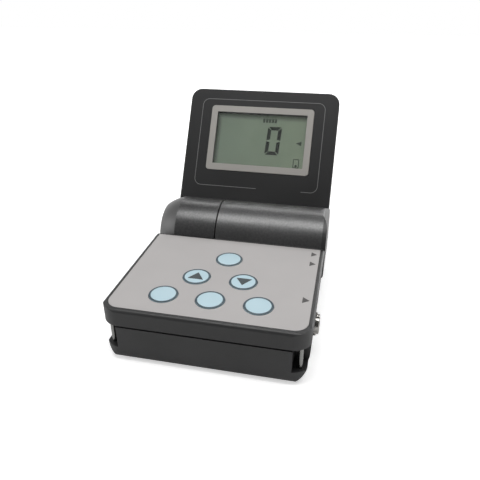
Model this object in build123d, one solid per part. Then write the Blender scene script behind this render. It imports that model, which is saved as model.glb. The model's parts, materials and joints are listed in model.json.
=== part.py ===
# A hand-held salinity and conductivity meter whose display flips up on a thick hinge barrel.
# Millimetres. +X is the user's right, +Y points away from the user, +Z is up.
# The origin is on the table, under the middle of the case.
from build123d import *
import os
from math import radians, sin, cos, sqrt

os.makedirs("parts", exist_ok=True)

# Case
CASE_WIDTH = 99.4
CASE_FRONT = -59.5
DECK_TOP = 29.0
CASE_SEAM = 20.0
FLOOR_UNDERSIDE = 0.8
WALL = 2.2
PLAN_CORNER = 9.0
SIDE_DRAFT = 1.4
BOTTOM_SIDE_RADIUS = 10.0
BOTTOM_FRONT_RADIUS = 3.0
DECK_EDGE_RADIUS = 1.8
LEAST_RADIUS = 0.3
RIM_HEIGHT = 1.4
RIM_THICKNESS = 1.0
RIM_CLEARANCE = 0.15
SEAM_GROOVE_HEIGHT = 0.9
SEAM_GROOVE_DEPTH = 0.8

# Hinge barrel: the left part turns with the display, the right part belongs to the case
HINGE_Y = 38.4
HINGE_Z = 22.0
BARREL_RADIUS = 21.2
MOVING_BARREL = 35.5
BARREL_SEAM_GAP = 0.6
BARREL_END_CORNER = 5.5
BARREL_EDGE_RADIUS = 0.5
RUN_GAP = 0.7
LEFT_REAR_CUT = 22.0
CAP_LENGTH = 10.8
CAP_END_RADIUS = 16.0
CAP_END_BEVEL = 0.5
CAP_SHOULDER = 5.0
CAP_MID_RADIUS = 19.3
CAP_SPIGOT_LENGTH = 1.6
CAP_SPIGOT_CLEARANCE = 0.1

# Hinge spindle and what holds it
SPINDLE_RADIUS = 8.0
SPINDLE_BORE = 5.5
SPINDLE_CLEARANCE = 0.05
SPINDLE_FLANGE_RADIUS = 13.0
SPINDLE_FLANGE = 2.0
SPINDLE_END_INSET = 2.0
BEARING_WEB_INSET = 8.0
BEARING_WEB = 2.2
WASHER_RADIUS = 11.0
WASHER_THICKNESS = 0.8
CLIP_RADIUS = 10.0
CLIP_THICKNESS = 1.2
CLIP_GROOVE_DEPTH = 0.6
CLIP_OPENING_ANGLE = 50.0
HINGE_SCREW_CIRCLE = 10.5
HINGE_SCREW_COUNT = 3
CABLE_RADIUS = 1.6
CABLE_FROM_SEAM = 18.4
CABLE_BEND = 10.0
CABLE_PLUG_HEIGHT = 3.4
CABLE_MOUTH = 0.9
CABLE_END = 0.8
DISPLAY_CABLE_RADIUS = 1.0
DISPLAY_CABLE_START = (0.4, -0.6)

# Display panel, in its own frame: y runs up the panel from the hinge axis, z points at the user
LEAN_ANGLE = 31.8
PANEL_INSET = 0.9
PANEL_TOP = 96.4
PANEL_THICKNESS = 9.0
PANEL_CORNER = 7.0
PANEL_LIP = 8.0
PANEL_BACK_RADIUS = 2.5
PANEL_FACE_RADIUS = 0.5
PANEL_WALL = 1.8
PANEL_SEAM_DEPTH = 5.0
PANEL_SEAT_GAP = 0.15
FRAME_MARGIN = 15.15
FRAME_TOP_MARGIN = 11.0
FRAME_HEIGHT = 43.1
FRAME_CORNER = 2.2
FRAME_PROUD = 0.4
FRAME_SEAT = 0.9
FRAME_FIT = 0.1
FRAME_SIDE = 4.1
FRAME_LOW_SIDE = 4.4
LENS_DEPTH = 0.3
LENS_THICKNESS = 1.0
LENS_FIT = 0.1
LCD_MARGIN = 3.0
LCD_GLASS = 1.1
LCD_STEP = 2.6
LCD_FIT = 0.1
STRIP_THICKNESS = 1.6
STRIP_HEIGHT = 1.2
STRIP_INSET = 0.5
DISPLAY_BOARD_MARGIN = 8.0
DISPLAY_BOARD_THICKNESS = 1.0
DISPLAY_SCREW_MARGIN = 7.9
DISPLAY_SCREW_LOW = 36.0
DISPLAY_SCREW_RADIUS = 1.2
DISPLAY_SCREW_HEAD = 2.2
DISPLAY_SCREW_HEAD_HEIGHT = 1.2
DISPLAY_SCREW_SUNK = 0.2
DISPLAY_BOSS_RADIUS = 3.4
RIBBON_SLOT_WIDTH = 3.4
RIBBON_SLOT_INSET = 3.8
BOARD_PAD_RADIUS = 1.5
BOARD_PAD_GAP = 0.1

# Key panel
OVERLAY_MARGIN = 2.5
OVERLAY_FRONT = -57.0
OVERLAY_REAR = 17.0
OVERLAY_CORNER = 6.5
OVERLAY_THICKNESS = 0.5
OVERLAY_FIT = 0.1
KEY_RADIUS = 7.05
KEY_HOLE_CLEARANCE = 0.2
KEY_PROUD = 0.5
KEY_FLANGE = 0.9
KEY_STEM_RADIUS = 3.5
KEY_STEM_CLEARANCE = 0.3
KEY_TRAVEL = 0.4
KEY_DOME_GAP = 0.45
KEY_ROW_TOP = -3.7
KEY_ROW_MIDDLE = -24.0
KEY_ROW_FRONT = -42.5
KEY_MIDDLE_SPACING = 24.2
KEY_FRONT_SPACING = 23.2
DOME_RADIUS = 4.2
DOME_HEIGHT = 0.4

# Main board
BOARD_TOP = 24.2
BOARD_THICKNESS = 1.6
BOARD_MARGIN = 16.0
BOARD_FRONT = -53.0
BOARD_REAR = 10.0
BOARD_BOSS_RADIUS = 3.0
BOARD_SCREW_RADIUS = 1.2
BOARD_SCREW_LENGTH = 5.0
BOARD_SCREW_HEAD = 2.3
BOARD_SCREW_HEAD_HEIGHT = 1.3
BOARD_SCREW_INSET = 4.0
CHIP_HEIGHT = 1.5
PROCESSOR_SIZE = 14.0
CONVERTER_SIZE = 8.0
CONVERTER_INSET = 12.0
AMPLIFIER_SIZE = 6.0
AMPLIFIER_INSET = 14.0
CHIP_FROM_BAY = 1.5
CABLE_PLUG_WIDTH = 6.0
CABLE_PLUG_INSET = 0.5

# Sockets on the right side
SOCKET_Z = 16.0
BNC_Y = -33.0
BNC_BARREL_RADIUS = 4.85
BNC_BORE = 4.05
BNC_PROUD = 1.7
BNC_TIP_CHAMFER = 0.3
BNC_LUG_RADIUS = 1.0
BNC_LUG_SPAN = 11.0
BNC_LUG_FROM_TIP = 2.2
BNC_LUG_LEAN = 28.0
BNC_RECESS_RADIUS = 8.6
BNC_RECESS_DEPTH = 7.0
BNC_FLANGE_RADIUS = 7.5
BNC_FLANGE = 1.6
BNC_THREAD_RADIUS = 4.7
BNC_THREAD_LENGTH = 7.0
BNC_NUT_ACROSS = 14.0
BNC_NUT_THICKNESS = 2.4
BNC_CONTACT_RADIUS = 1.0
BNC_CONTACT_INSET = 0.5
BNC_INSULATOR_RADIUS = 2.6
CUP_WALL = 1.8
JACK_FIT = 0.1
TEMP_JACK_Y = 1.6
TEMP_BORE = 1.8
TEMP_NOSE_RADIUS = 3.2
TEMP_BODY = 7.4
TEMP_LENGTH = 14.0
POWER_JACK_Y = 11.5
POWER_BORE = 3.1
POWER_NOSE_RADIUS = 4.2
POWER_BODY = 9.0
POWER_LENGTH = 13.5
POWER_PIN_RADIUS = 1.05
POWER_PIN_INSET = 1.0
POWER_BORE_DEPTH = 9.5
NOSE_SETBACK = 0.9

# Strap posts in the two front corners
STRAP_RECESS_WIDTH = 8.2
STRAP_RECESS_REAR = -49.4
STRAP_RECESS_BOTTOM = 7.5
STRAP_POST_INSET = 4.7
STRAP_POST_Y = -55.2
STRAP_POST_RADIUS = 1.1
STRAP_POST_SEAT = 1.4
STRAP_POST_FIT = 0.05
STRAP_RECESS_WALL = 1.8
KEEPER_DROP = 1.8
KEEPER_LENGTH = 2.6

# Battery bay in the bottom
BATTERY_LENGTH = 48.5
BATTERY_WIDTH = 26.5
BATTERY_HEIGHT = 17.5
BATTERY_CORNER = 2.5
BATTERY_FIT = 0.5
BAY_X = -2.0
BAY_Y = -19.0
BAY_WALL = 1.4
SNAP_SPACE = 8.0
SNAP_THICKNESS = 2.8
SNAP_WIDTH = 24.0
SNAP_HEIGHT = 13.0
STUD_SPACING = 12.7
STUD_RADIUS = 3.6
STUD_LENGTH = 3.2
COVER_LEDGE = 1.8
COVER_THICKNESS = 1.2
COVER_CLEARANCE = 0.3
COVER_TAB_WIDTH = 8.0
COVER_TAB_LENGTH = 1.4
COVER_TAB_THICKNESS = 0.8
COVER_TAB_SPACING = 26.0
GRIP_RIBS = 5
GRIP_PITCH = 2.0
GRIP_GROOVE = 0.9
GRIP_DEPTH = 0.4
GRIP_HALF = 7.0

# Case screws under the feet
FOOT_RADIUS = 4.6
FOOT_DEPTH = 1.0
FOOT_FIT = 0.1
FOOT_EDGE_RADIUS = 0.4
FOOT_FRONT_INSET = 14.5
FOOT_FRONT_Y = -50.0
FOOT_REAR_INSET = 14.5
FOOT_LEFT_Y = 11.5
FOOT_RIGHT_Y = 28.0
SCREW_COLUMN_RADIUS = 3.9
SCREW_HEAD_RADIUS = 2.7
SCREW_HEAD_HEIGHT = 1.8
SCREW_RADIUS = 1.5
SCREW_SEAT_Z = 12.0
SCREW_REACH = 7.0
SCREW_HOLE_CLEARANCE = 0.25
SCREW_PILOT_FIT = 0.02
SLOT_REACH = 0.6
SLOT_WIDTH = 0.3

# Places across the case, all worked out from its width
HALF = CASE_WIDTH / 2
BARREL_SEAM_X = MOVING_BARREL - HALF
CAP_CREASE_X = CAP_LENGTH - HALF
CAP_MID_X = CAP_SHOULDER - HALF
SPINDLE_END_X = CAP_CREASE_X + SPINDLE_END_INSET
BEARING_WEB_X = CAP_CREASE_X + BEARING_WEB_INSET
CABLE_MOUTH_X = CAP_CREASE_X - CABLE_MOUTH
RIBBON_SLOT_X = CAP_CREASE_X + RIBBON_SLOT_INSET
CABLE_X = BARREL_SEAM_X + CABLE_FROM_SEAM
PANEL_WIDTH = CASE_WIDTH - 2 * PANEL_INSET
FRAME_WIDTH = PANEL_WIDTH - 2 * FRAME_MARGIN
WINDOW_WIDTH = FRAME_WIDTH - 2 * FRAME_SIDE
DISPLAY_SCREW_X = PANEL_WIDTH / 2 - DISPLAY_SCREW_MARGIN
OVERLAY_WIDTH = CASE_WIDTH - 2 * OVERLAY_MARGIN
BOARD_WIDTH = CASE_WIDTH - 2 * BOARD_MARGIN
CONVERTER_X = CONVERTER_INSET - BOARD_WIDTH / 2
AMPLIFIER_X = BOARD_WIDTH / 2 - AMPLIFIER_INSET
BNC_TIP_X = HALF + BNC_PROUD
STRAP_RECESS_X = HALF - STRAP_RECESS_WIDTH
STRAP_POST_X = HALF - STRAP_POST_INSET
FOOT_FRONT_X = HALF - FOOT_FRONT_INSET
FOOT_REAR_X = HALF - FOOT_REAR_INSET
FIXED_LEFT = BARREL_SEAM_X + BARREL_SEAM_GAP / 2
MOVING_RIGHT = BARREL_SEAM_X - BARREL_SEAM_GAP / 2
PANEL_HALF = PANEL_WIDTH / 2
PANEL_BACK = -BARREL_RADIUS
PANEL_Z = PANEL_BACK + PANEL_THICKNESS
PANEL_SPLIT = PANEL_Z - PANEL_SEAM_DEPTH
TUBE_BORE = BARREL_RADIUS - WALL
FRAME_TOP = PANEL_TOP - FRAME_TOP_MARGIN
FRAME_BOTTOM = FRAME_TOP - FRAME_HEIGHT
WINDOW_TOP = FRAME_TOP - FRAME_SIDE
WINDOW_BOTTOM = FRAME_BOTTOM + FRAME_LOW_SIDE
DISPLAY_SCREW_HIGH = PANEL_TOP - DISPLAY_SCREW_MARGIN
FOOT_PLACES = [
    (FOOT_FRONT_X, FOOT_FRONT_Y),
    (-FOOT_FRONT_X, FOOT_FRONT_Y),
    (-FOOT_REAR_X, FOOT_LEFT_Y),
    (FOOT_REAR_X, FOOT_RIGHT_Y),
]
KEY_PLACES = {
    "key_top": (0.0, KEY_ROW_TOP),
    "key_up": (-KEY_MIDDLE_SPACING / 2, KEY_ROW_MIDDLE),
    "key_down": (KEY_MIDDLE_SPACING / 2, KEY_ROW_MIDDLE),
    "key_left": (-KEY_FRONT_SPACING, KEY_ROW_FRONT),
    "key_middle": (0.0, KEY_ROW_FRONT),
    "key_right": (KEY_FRONT_SPACING, KEY_ROW_FRONT),
}
# A little overlap where one form is joined to the next, and a length beyond every piece
HAIR = 0.1
BEYOND = 200.0


def block(x0, x1, y0, y1, z0, z1):
    """A box between two corners."""
    return Pos((x0 + x1) / 2, (y0 + y1) / 2, (z0 + z1) / 2) * Box(x1 - x0, y1 - y0, z1 - z0)


def disc_x(x0, x1, y, z, radius):
    """A round bar along X."""
    return Pos((x0 + x1) / 2, y, z) * Rot(0, 90, 0) * Cylinder(radius, abs(x1 - x0))


def disc_z(x, y, z0, z1, radius):
    """A round bar along Z."""
    return Pos(x, y, (z0 + z1) / 2) * Cylinder(radius, abs(z1 - z0))


def outline(corners):
    """A closed outline from corners given as (a, b, corner radius)."""
    points = [(a, b) for a, b, _ in corners]
    return make_face(FilletPolyline(*points, radius=[max(r, 0) for _, _, r in corners], close=True))


def rounded_plate(width, y0, y1, corner, z0, z1, rear_corner=None):
    """A flat plate centred on X with rounded corners."""
    rear = corner if rear_corner is None else rear_corner
    half = width / 2
    face = outline([(-half, y0, corner), (half, y0, corner), (half, y1, rear), (-half, y1, rear)])
    return Pos(0, 0, z0) * extrude(face, z1 - z0)


def case_body(inset):
    """The closed body of the case, every face moved inwards by the same amount."""
    half = HALF - inset
    front = CASE_FRONT + inset
    bottom = FLOOR_UNDERSIDE + inset
    deck = DECK_TOP - inset
    low_side = BOTTOM_SIDE_RADIUS - inset
    corner = PLAN_CORNER - inset
    edge = max(DECK_EDGE_RADIUS - inset, LEAST_RADIUS)
    low_front = max(BOTTOM_FRONT_RADIUS - inset, LEAST_RADIUS)
    barrel_top = HINGE_Z + BARREL_RADIUS - inset
    barrel_left = FIXED_LEFT + inset
    end_corner = BARREL_END_CORNER - inset
    plan = outline([(-half, front, corner), (half, front, corner), (half, HINGE_Y, 0), (-half, HINGE_Y, 0)])
    low_half = half - SIDE_DRAFT
    across = outline([(-low_half, bottom, low_side), (low_half, bottom, low_side), (half, deck, edge),
                      (-half, deck, edge)])
    along = outline([(front, bottom, low_front), (HINGE_Y, bottom, 0), (HINGE_Y, deck, 0), (front, deck, edge)])
    slab = extrude(plan, DECK_TOP) & extrude(Plane.XZ * across, BEYOND, both=True)
    slab = slab & extrude(Plane.YZ * along, BEYOND, both=True)
    barrel_end = outline([(barrel_left, bottom, 0), (half, bottom, low_side), (half, barrel_top, end_corner),
                          (barrel_left, barrel_top, 0)])
    barrel = disc_x(barrel_left, half, HINGE_Y, HINGE_Z, BARREL_RADIUS - inset)
    barrel = barrel & extrude(Plane.XZ * barrel_end, BEYOND, both=True)
    swept = disc_x(-BEYOND, barrel_left, HINGE_Y, HINGE_Z, BARREL_RADIUS + RUN_GAP + inset)
    behind = block(-BEYOND, barrel_left, LEFT_REAR_CUT - inset, BEYOND, -BEYOND, BEYOND)
    return (slab - swept - behind) + barrel


def mirrored_x(shape):
    return shape + mirror(shape, about=Plane.YZ)


def strap_recess(grow=0.0):
    """The open pocket of the right front corner, or the block of wall round it."""
    return block(STRAP_RECESS_X - grow, BEYOND, -BEYOND, STRAP_RECESS_REAR + grow,
                 STRAP_RECESS_BOTTOM - grow, CASE_SEAM + grow)


def bnc_cup(radius, depth):
    """The round recess that lets a plug's ring pass over the probe socket."""
    return disc_x(HALF - depth, HALF + WALL, BNC_Y, SOCKET_Z, radius)


def socket_holes():
    """Openings in the right wall and in the floor of the recess."""
    holes = bnc_cup(BNC_RECESS_RADIUS, BNC_RECESS_DEPTH)
    holes += disc_x(0, HALF, BNC_Y, SOCKET_Z, BNC_THREAD_RADIUS + JACK_FIT)
    holes += disc_x(HALF - 2 * WALL, HALF + WALL, TEMP_JACK_Y, SOCKET_Z, TEMP_NOSE_RADIUS + JACK_FIT)
    holes += disc_x(HALF - 2 * WALL, HALF + WALL, POWER_JACK_Y, SOCKET_Z, POWER_NOSE_RADIUS + JACK_FIT)
    return holes


def spindle_hole():
    radius = SPINDLE_RADIUS + SPINDLE_CLEARANCE
    return disc_x(FIXED_LEFT - WALL, FIXED_LEFT + 2 * WALL, HINGE_Y, HINGE_Z, radius)


def bay(grow=0.0):
    """The space for the battery and its snap, or the tub round it."""
    half_x = (BATTERY_LENGTH + SNAP_SPACE) / 2 + BATTERY_FIT + grow
    half_y = BATTERY_WIDTH / 2 + BATTERY_FIT + grow
    top = FLOOR_UNDERSIDE + WALL + BATTERY_HEIGHT + BATTERY_FIT + grow
    return block(BAY_X - half_x, BAY_X + half_x, BAY_Y - half_y, BAY_Y + half_y, FLOOR_UNDERSIDE - WALL, top)


def cover_plate(grow):
    half_x = (BATTERY_LENGTH + SNAP_SPACE) / 2 + BATTERY_FIT + COVER_LEDGE + grow
    half_y = BATTERY_WIDTH / 2 + BATTERY_FIT + COVER_LEDGE + grow
    return block(BAY_X - half_x, BAY_X + half_x, BAY_Y - half_y, BAY_Y + half_y,
                 FLOOR_UNDERSIDE - 2 * grow, FLOOR_UNDERSIDE + COVER_THICKNESS + grow)


def cover_tabs(grow, rise):
    """The two tongues on the rear edge of the battery cover, or the slots that take them."""
    rear = BAY_Y + BATTERY_WIDTH / 2 + BATTERY_FIT + COVER_LEDGE
    low = FLOOR_UNDERSIDE + COVER_THICKNESS
    tabs = []
    for side in (-1, 1):
        x = BAY_X + side * COVER_TAB_SPACING / 2
        tabs.append(block(x - COVER_TAB_WIDTH / 2 - grow, x + COVER_TAB_WIDTH / 2 + grow,
                          rear - COVER_LEDGE * 2 - grow, rear + COVER_TAB_LENGTH + grow,
                          low - grow / 2, low + COVER_TAB_THICKNESS + rise))
    return tabs[0] + tabs[1]


def feet(radius, z0, z1):
    shapes = [disc_z(x, y, z0, z1, radius) for x, y in FOOT_PLACES]
    return shapes[0] + shapes[1] + shapes[2] + shapes[3]


def key_bodies(radius, z0, z1):
    shapes = [disc_z(x, y, z0, z1, radius) for x, y in KEY_PLACES.values()]
    return Part() + shapes


def board_screw_places():
    half = BOARD_WIDTH / 2 - BOARD_SCREW_INSET
    return [(sx * half, y) for sx in (-1, 1) for y in (BOARD_FRONT + BOARD_SCREW_INSET * 4,
                                                       BOARD_REAR - BOARD_SCREW_INSET)]


def posts(x_radius, z0, z1):
    return mirrored_x(disc_z(STRAP_POST_X, STRAP_POST_Y, z0, z1, x_radius))


def seam_rim():
    """The thin rim of the lower case that locates the upper case."""
    grown = RIM_CLEARANCE + RIM_THICKNESS
    inside = case_body(WALL + grown)
    foot = (case_body(WALL) - inside) & seam_slice(-RIM_HEIGHT, -RIM_CLEARANCE)
    rim = (case_body(WALL + RIM_CLEARANCE) - inside) & seam_slice(-RIM_HEIGHT, RIM_HEIGHT)
    roof = strap_recess(STRAP_RECESS_WALL + RIM_CLEARANCE)
    clear = mirrored_x(roof + Pos(0, 0, WALL) * roof) + feet(SCREW_COLUMN_RADIUS + RIM_CLEARANCE, 0, BEYOND)
    clear += bnc_cup(BNC_RECESS_RADIUS + CUP_WALL + RIM_CLEARANCE, BNC_RECESS_DEPTH + 2 * CUP_WALL)
    for y, body in ((TEMP_JACK_Y, TEMP_BODY), (POWER_JACK_Y, POWER_BODY)):
        half = body / 2 + RIM_CLEARANCE
        clear += block(0, HALF - WALL, y - half, y + half, SOCKET_Z - half, SOCKET_Z + half)
    return foot + rim - clear


def seam_slice(low, high):
    """The space round the seam in front of the barrel."""
    return block(-BEYOND, BEYOND, -BEYOND, HINGE_Y - BARREL_RADIUS, CASE_SEAM + low, CASE_SEAM + high)


def hinge_pilots():
    """Pilot holes in the barrel's end wall for the spindle's screws."""
    return Part() + [hinge_screw_hole(angle, SCREW_PILOT_FIT) for angle in hinge_screw_angles()]


def lower_case(outer, inner):
    keep = mirrored_x(strap_recess(STRAP_RECESS_WALL)) + bnc_cup(BNC_RECESS_RADIUS + CUP_WALL,
                                                                 BNC_RECESS_DEPTH + CUP_WALL)
    keep += feet(SCREW_COLUMN_RADIUS, FLOOR_UNDERSIDE, CASE_SEAM)
    below = block(-BEYOND, BEYOND, -BEYOND, BEYOND, -BEYOND, CASE_SEAM)
    shell = (outer & below) - (inner - keep)
    tub = bay(BAY_WALL) & block(-BEYOND, BEYOND, -BEYOND, BEYOND, FLOOR_UNDERSIDE, BEYOND)
    shell = shell + tub + seam_rim()
    shell -= bay() + cover_plate(COVER_CLEARANCE) + cover_tabs(COVER_CLEARANCE, 2 * COVER_TAB_THICKNESS)
    shell -= mirrored_x(strap_recess())
    shell -= (outer - case_body(SEAM_GROOVE_DEPTH)) & block(-BEYOND, BEYOND, -BEYOND, BEYOND,
                                                            CASE_SEAM - SEAM_GROOVE_HEIGHT, CASE_SEAM)
    shell -= socket_holes() + spindle_hole() + hinge_pilots()
    shell -= posts(STRAP_POST_RADIUS + STRAP_POST_FIT, STRAP_RECESS_BOTTOM - STRAP_POST_SEAT, CASE_SEAM)
    shell -= feet(FOOT_RADIUS + FOOT_FIT, -BEYOND, FLOOR_UNDERSIDE + FOOT_DEPTH)
    shell -= feet(SCREW_HEAD_RADIUS + SCREW_HOLE_CLEARANCE, FLOOR_UNDERSIDE, SCREW_SEAT_Z)
    shell -= feet(SCREW_RADIUS + SCREW_HOLE_CLEARANCE, FLOOR_UNDERSIDE, CASE_SEAM + WALL)
    return shell


def upper_case(outer, inner):
    roof = mirrored_x(block(STRAP_RECESS_X - STRAP_RECESS_WALL, HALF, CASE_FRONT, STRAP_RECESS_REAR
                            + STRAP_RECESS_WALL, CASE_SEAM, CASE_SEAM + 2 * WALL))
    keep = roof + bnc_cup(BNC_RECESS_RADIUS + CUP_WALL, BNC_RECESS_DEPTH + CUP_WALL)
    keep += feet(SCREW_COLUMN_RADIUS, CASE_SEAM, DECK_TOP + BARREL_RADIUS)
    for x, y in board_screw_places():
        keep += disc_z(x, y, BOARD_TOP, DECK_TOP, BOARD_BOSS_RADIUS)
    above = block(-BEYOND, BEYOND, -BEYOND, BEYOND, CASE_SEAM, BEYOND)
    shell = (outer & above) - (inner - keep)
    keeper = block(STRAP_RECESS_X + STRAP_POST_FIT, STRAP_POST_X - STRAP_POST_RADIUS - HAIR, CASE_FRONT + WALL,
                   STRAP_POST_Y + KEEPER_LENGTH, CASE_SEAM - KEEPER_DROP, CASE_SEAM + WALL)
    shell += mirrored_x(keeper)
    shell -= rounded_plate(OVERLAY_WIDTH + 2 * OVERLAY_FIT, OVERLAY_FRONT - OVERLAY_FIT,
                           OVERLAY_REAR + OVERLAY_FIT, OVERLAY_CORNER, DECK_TOP - OVERLAY_THICKNESS,
                           DECK_TOP + WALL, rear_corner=0)
    shell -= key_bodies(KEY_RADIUS + KEY_HOLE_CLEARANCE, key_floor(), DECK_TOP)
    shell -= key_bodies(KEY_STEM_RADIUS + KEY_STEM_CLEARANCE, BOARD_TOP, DECK_TOP)
    shell -= socket_holes() + spindle_hole() + hinge_pilots()
    shell -= posts(STRAP_POST_RADIUS + STRAP_POST_FIT, CASE_SEAM, CASE_SEAM + STRAP_POST_SEAT)
    screw_top = SCREW_SEAT_Z + SCREW_HEAD_HEIGHT + SCREW_REACH + WALL
    shell -= feet(SCREW_RADIUS + SCREW_PILOT_FIT, CASE_SEAM, screw_top)
    for x, y in board_screw_places():
        shell -= disc_z(x, y, BOARD_TOP - WALL, BOARD_TOP + BOARD_SCREW_LENGTH - BOARD_THICKNESS,
                        BOARD_SCREW_RADIUS + SCREW_PILOT_FIT)
    return shell


def key_floor():
    """Bottom of the pocket that a key's flange sinks into."""
    return DECK_TOP - KEY_FLANGE - KEY_TRAVEL - OVERLAY_FIT


def keypad_overlay():
    sheet = rounded_plate(OVERLAY_WIDTH, OVERLAY_FRONT, OVERLAY_REAR, OVERLAY_CORNER,
                          DECK_TOP - OVERLAY_THICKNESS, DECK_TOP, rear_corner=0)
    return sheet - key_bodies(KEY_RADIUS + KEY_HOLE_CLEARANCE, DECK_TOP - WALL, DECK_TOP + WALL)


def key(x, y):
    """One round key: a slightly domed cap on a flange, with a stem down to its snap dome."""
    flange_low = DECK_TOP - KEY_FLANGE
    edge_high = DECK_TOP + KEY_PROUD / 2
    sphere = (KEY_RADIUS ** 2 + (KEY_PROUD / 2) ** 2) / KEY_PROUD
    profile = Polyline((0, flange_low), (KEY_RADIUS, flange_low), (KEY_RADIUS, edge_high))
    crown = RadiusArc((KEY_RADIUS, edge_high), (0, DECK_TOP + KEY_PROUD), -sphere)
    face = make_face(profile + crown + Line((0, DECK_TOP + KEY_PROUD), (0, flange_low)))
    cap = revolve(Plane.XZ * face, Axis.Z)
    stem = disc_z(0, 0, BOARD_TOP + DOME_HEIGHT + KEY_DOME_GAP, flange_low + OVERLAY_FIT, KEY_STEM_RADIUS)
    return Pos(x, y, 0) * (cap + stem)


def snap_domes():
    domes = []
    sphere = (DOME_RADIUS ** 2 + DOME_HEIGHT ** 2) / (2 * DOME_HEIGHT)
    for x, y in KEY_PLACES.values():
        ball = Pos(x, y, BOARD_TOP + DOME_HEIGHT - sphere) * Sphere(sphere)
        domes.append(ball & block(-BEYOND, BEYOND, -BEYOND, BEYOND, BOARD_TOP, BOARD_TOP + DOME_HEIGHT))
    return Compound(children=[Solid(d.solids()[0].wrapped) for d in domes])


def main_board():
    board = block(-BOARD_WIDTH / 2, BOARD_WIDTH / 2, BOARD_FRONT, BOARD_REAR,
                  BOARD_TOP - BOARD_THICKNESS, BOARD_TOP)
    for x, y in board_screw_places():
        board -= disc_z(x, y, 0, DECK_TOP, BOARD_SCREW_RADIUS + SCREW_HOLE_CLEARANCE)
    return board - feet(SCREW_COLUMN_RADIUS + 2 * SCREW_HOLE_CLEARANCE, 0, DECK_TOP)


def board_chips():
    top = BOARD_TOP - BOARD_THICKNESS
    low = top - CHIP_HEIGHT
    rear = BAY_Y - BATTERY_WIDTH / 2 - BATTERY_FIT - BAY_WALL - CHIP_FROM_BAY
    parts = []
    for x, size in ((0, PROCESSOR_SIZE), (CONVERTER_X, CONVERTER_SIZE), (AMPLIFIER_X, AMPLIFIER_SIZE)):
        parts.append(block(x - size / 2, x + size / 2, rear - size, rear, low, top))
    plug_rear = BOARD_REAR - CABLE_PLUG_INSET
    parts.append(block(CABLE_X - CABLE_PLUG_WIDTH / 2, CABLE_X + CABLE_PLUG_WIDTH / 2,
                       plug_rear - CABLE_PLUG_WIDTH, plug_rear, top - CABLE_PLUG_HEIGHT, top))
    return Compound(children=[part.solid() for part in parts])


def screw(head_radius, head_height, radius, length):
    """A pan-head screw with a cross recess: the head hangs below z 0, the shank stands above it."""
    head = disc_z(0, 0, -head_height, 0, head_radius)
    head = fillet(head.edges().group_by(Axis.Z)[0], head_height * 0.4)
    reach, width = 2 * SLOT_REACH * head_radius, SLOT_WIDTH * head_radius
    recess = Box(reach, width, head_height) + Box(width, reach, head_height)
    shank = disc_z(0, 0, -HAIR, length, radius)
    shank = chamfer(shank.edges().group_by(Axis.Z)[-1], radius * 0.4)
    return head - Pos(0, 0, -head_height) * recess + shank


def board_screws():
    one = screw(BOARD_SCREW_HEAD, BOARD_SCREW_HEAD_HEIGHT, BOARD_SCREW_RADIUS, BOARD_SCREW_LENGTH - WALL / 2)
    under = BOARD_TOP - BOARD_THICKNESS
    return Compound(children=[(Pos(x, y, under) * one).solid() for x, y in board_screw_places()])


def bnc_shell():
    """Barrel with two bayonet lugs, flange against the recess floor and thread through it."""
    floor = HALF - BNC_RECESS_DEPTH
    shell = disc_x(floor, BNC_TIP_X, BNC_Y, SOCKET_Z, BNC_BARREL_RADIUS)
    shell = chamfer(shell.edges().filter_by(GeomType.CIRCLE).sort_by(Axis.X)[-1], BNC_TIP_CHAMFER)
    shell += disc_x(floor, floor + BNC_FLANGE, BNC_Y, SOCKET_Z, BNC_FLANGE_RADIUS)
    shell += disc_x(floor - BNC_THREAD_LENGTH, floor, BNC_Y, SOCKET_Z, BNC_THREAD_RADIUS)
    lugs = Rot(-BNC_LUG_LEAN, 0, 0) * Cylinder(BNC_LUG_RADIUS, BNC_LUG_SPAN)
    shell += Pos(BNC_TIP_X - BNC_LUG_FROM_TIP, BNC_Y, SOCKET_Z) * lugs
    shell -= disc_x(floor, BNC_TIP_X + WALL, BNC_Y, SOCKET_Z, BNC_BORE)
    shell -= disc_x(0, floor, BNC_Y, SOCKET_Z, BNC_INSULATOR_RADIUS + STRAP_POST_FIT)
    return shell


def bnc_insulator():
    floor = HALF - BNC_RECESS_DEPTH
    body = disc_x(floor - BNC_THREAD_LENGTH, HALF, BNC_Y, SOCKET_Z, BNC_INSULATOR_RADIUS)
    return body - disc_x(0, BEYOND, BNC_Y, SOCKET_Z, BNC_CONTACT_RADIUS + STRAP_POST_FIT)


def bnc_contact():
    floor = HALF - BNC_RECESS_DEPTH
    contact = disc_x(floor - BNC_THREAD_LENGTH * 1.5, HALF - BNC_CONTACT_INSET, BNC_Y, SOCKET_Z,
                     BNC_CONTACT_RADIUS)
    return contact - disc_x(floor, BEYOND, BNC_Y, SOCKET_Z, BNC_CONTACT_RADIUS / 2)


def bnc_nut():
    x1 = HALF - BNC_RECESS_DEPTH - CUP_WALL
    hexagon = RegularPolygon(BNC_NUT_ACROSS / 2, 6, major_radius=False)
    nut = Pos(x1 - BNC_NUT_THICKNESS, BNC_Y, SOCKET_Z) * extrude(Plane.YZ * hexagon, BNC_NUT_THICKNESS)
    return nut - disc_x(0, BEYOND, BNC_Y, SOCKET_Z, BNC_THREAD_RADIUS + STRAP_POST_FIT)


def side_jack(y, nose_radius, body, length, bore, bore_depth):
    """A moulded socket body behind the wall with a round nose in the wall's hole."""
    inside = HALF - WALL - SIDE_DRAFT - JACK_FIT
    jack = block(HALF - NOSE_SETBACK - length, inside, y - body / 2, y + body / 2,
                 SOCKET_Z - body / 2, SOCKET_Z + body / 2)
    jack += disc_x(inside - WALL, HALF - NOSE_SETBACK, y, SOCKET_Z, nose_radius)
    return jack - disc_x(HALF - NOSE_SETBACK - bore_depth, HALF, y, SOCKET_Z, bore)


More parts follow.
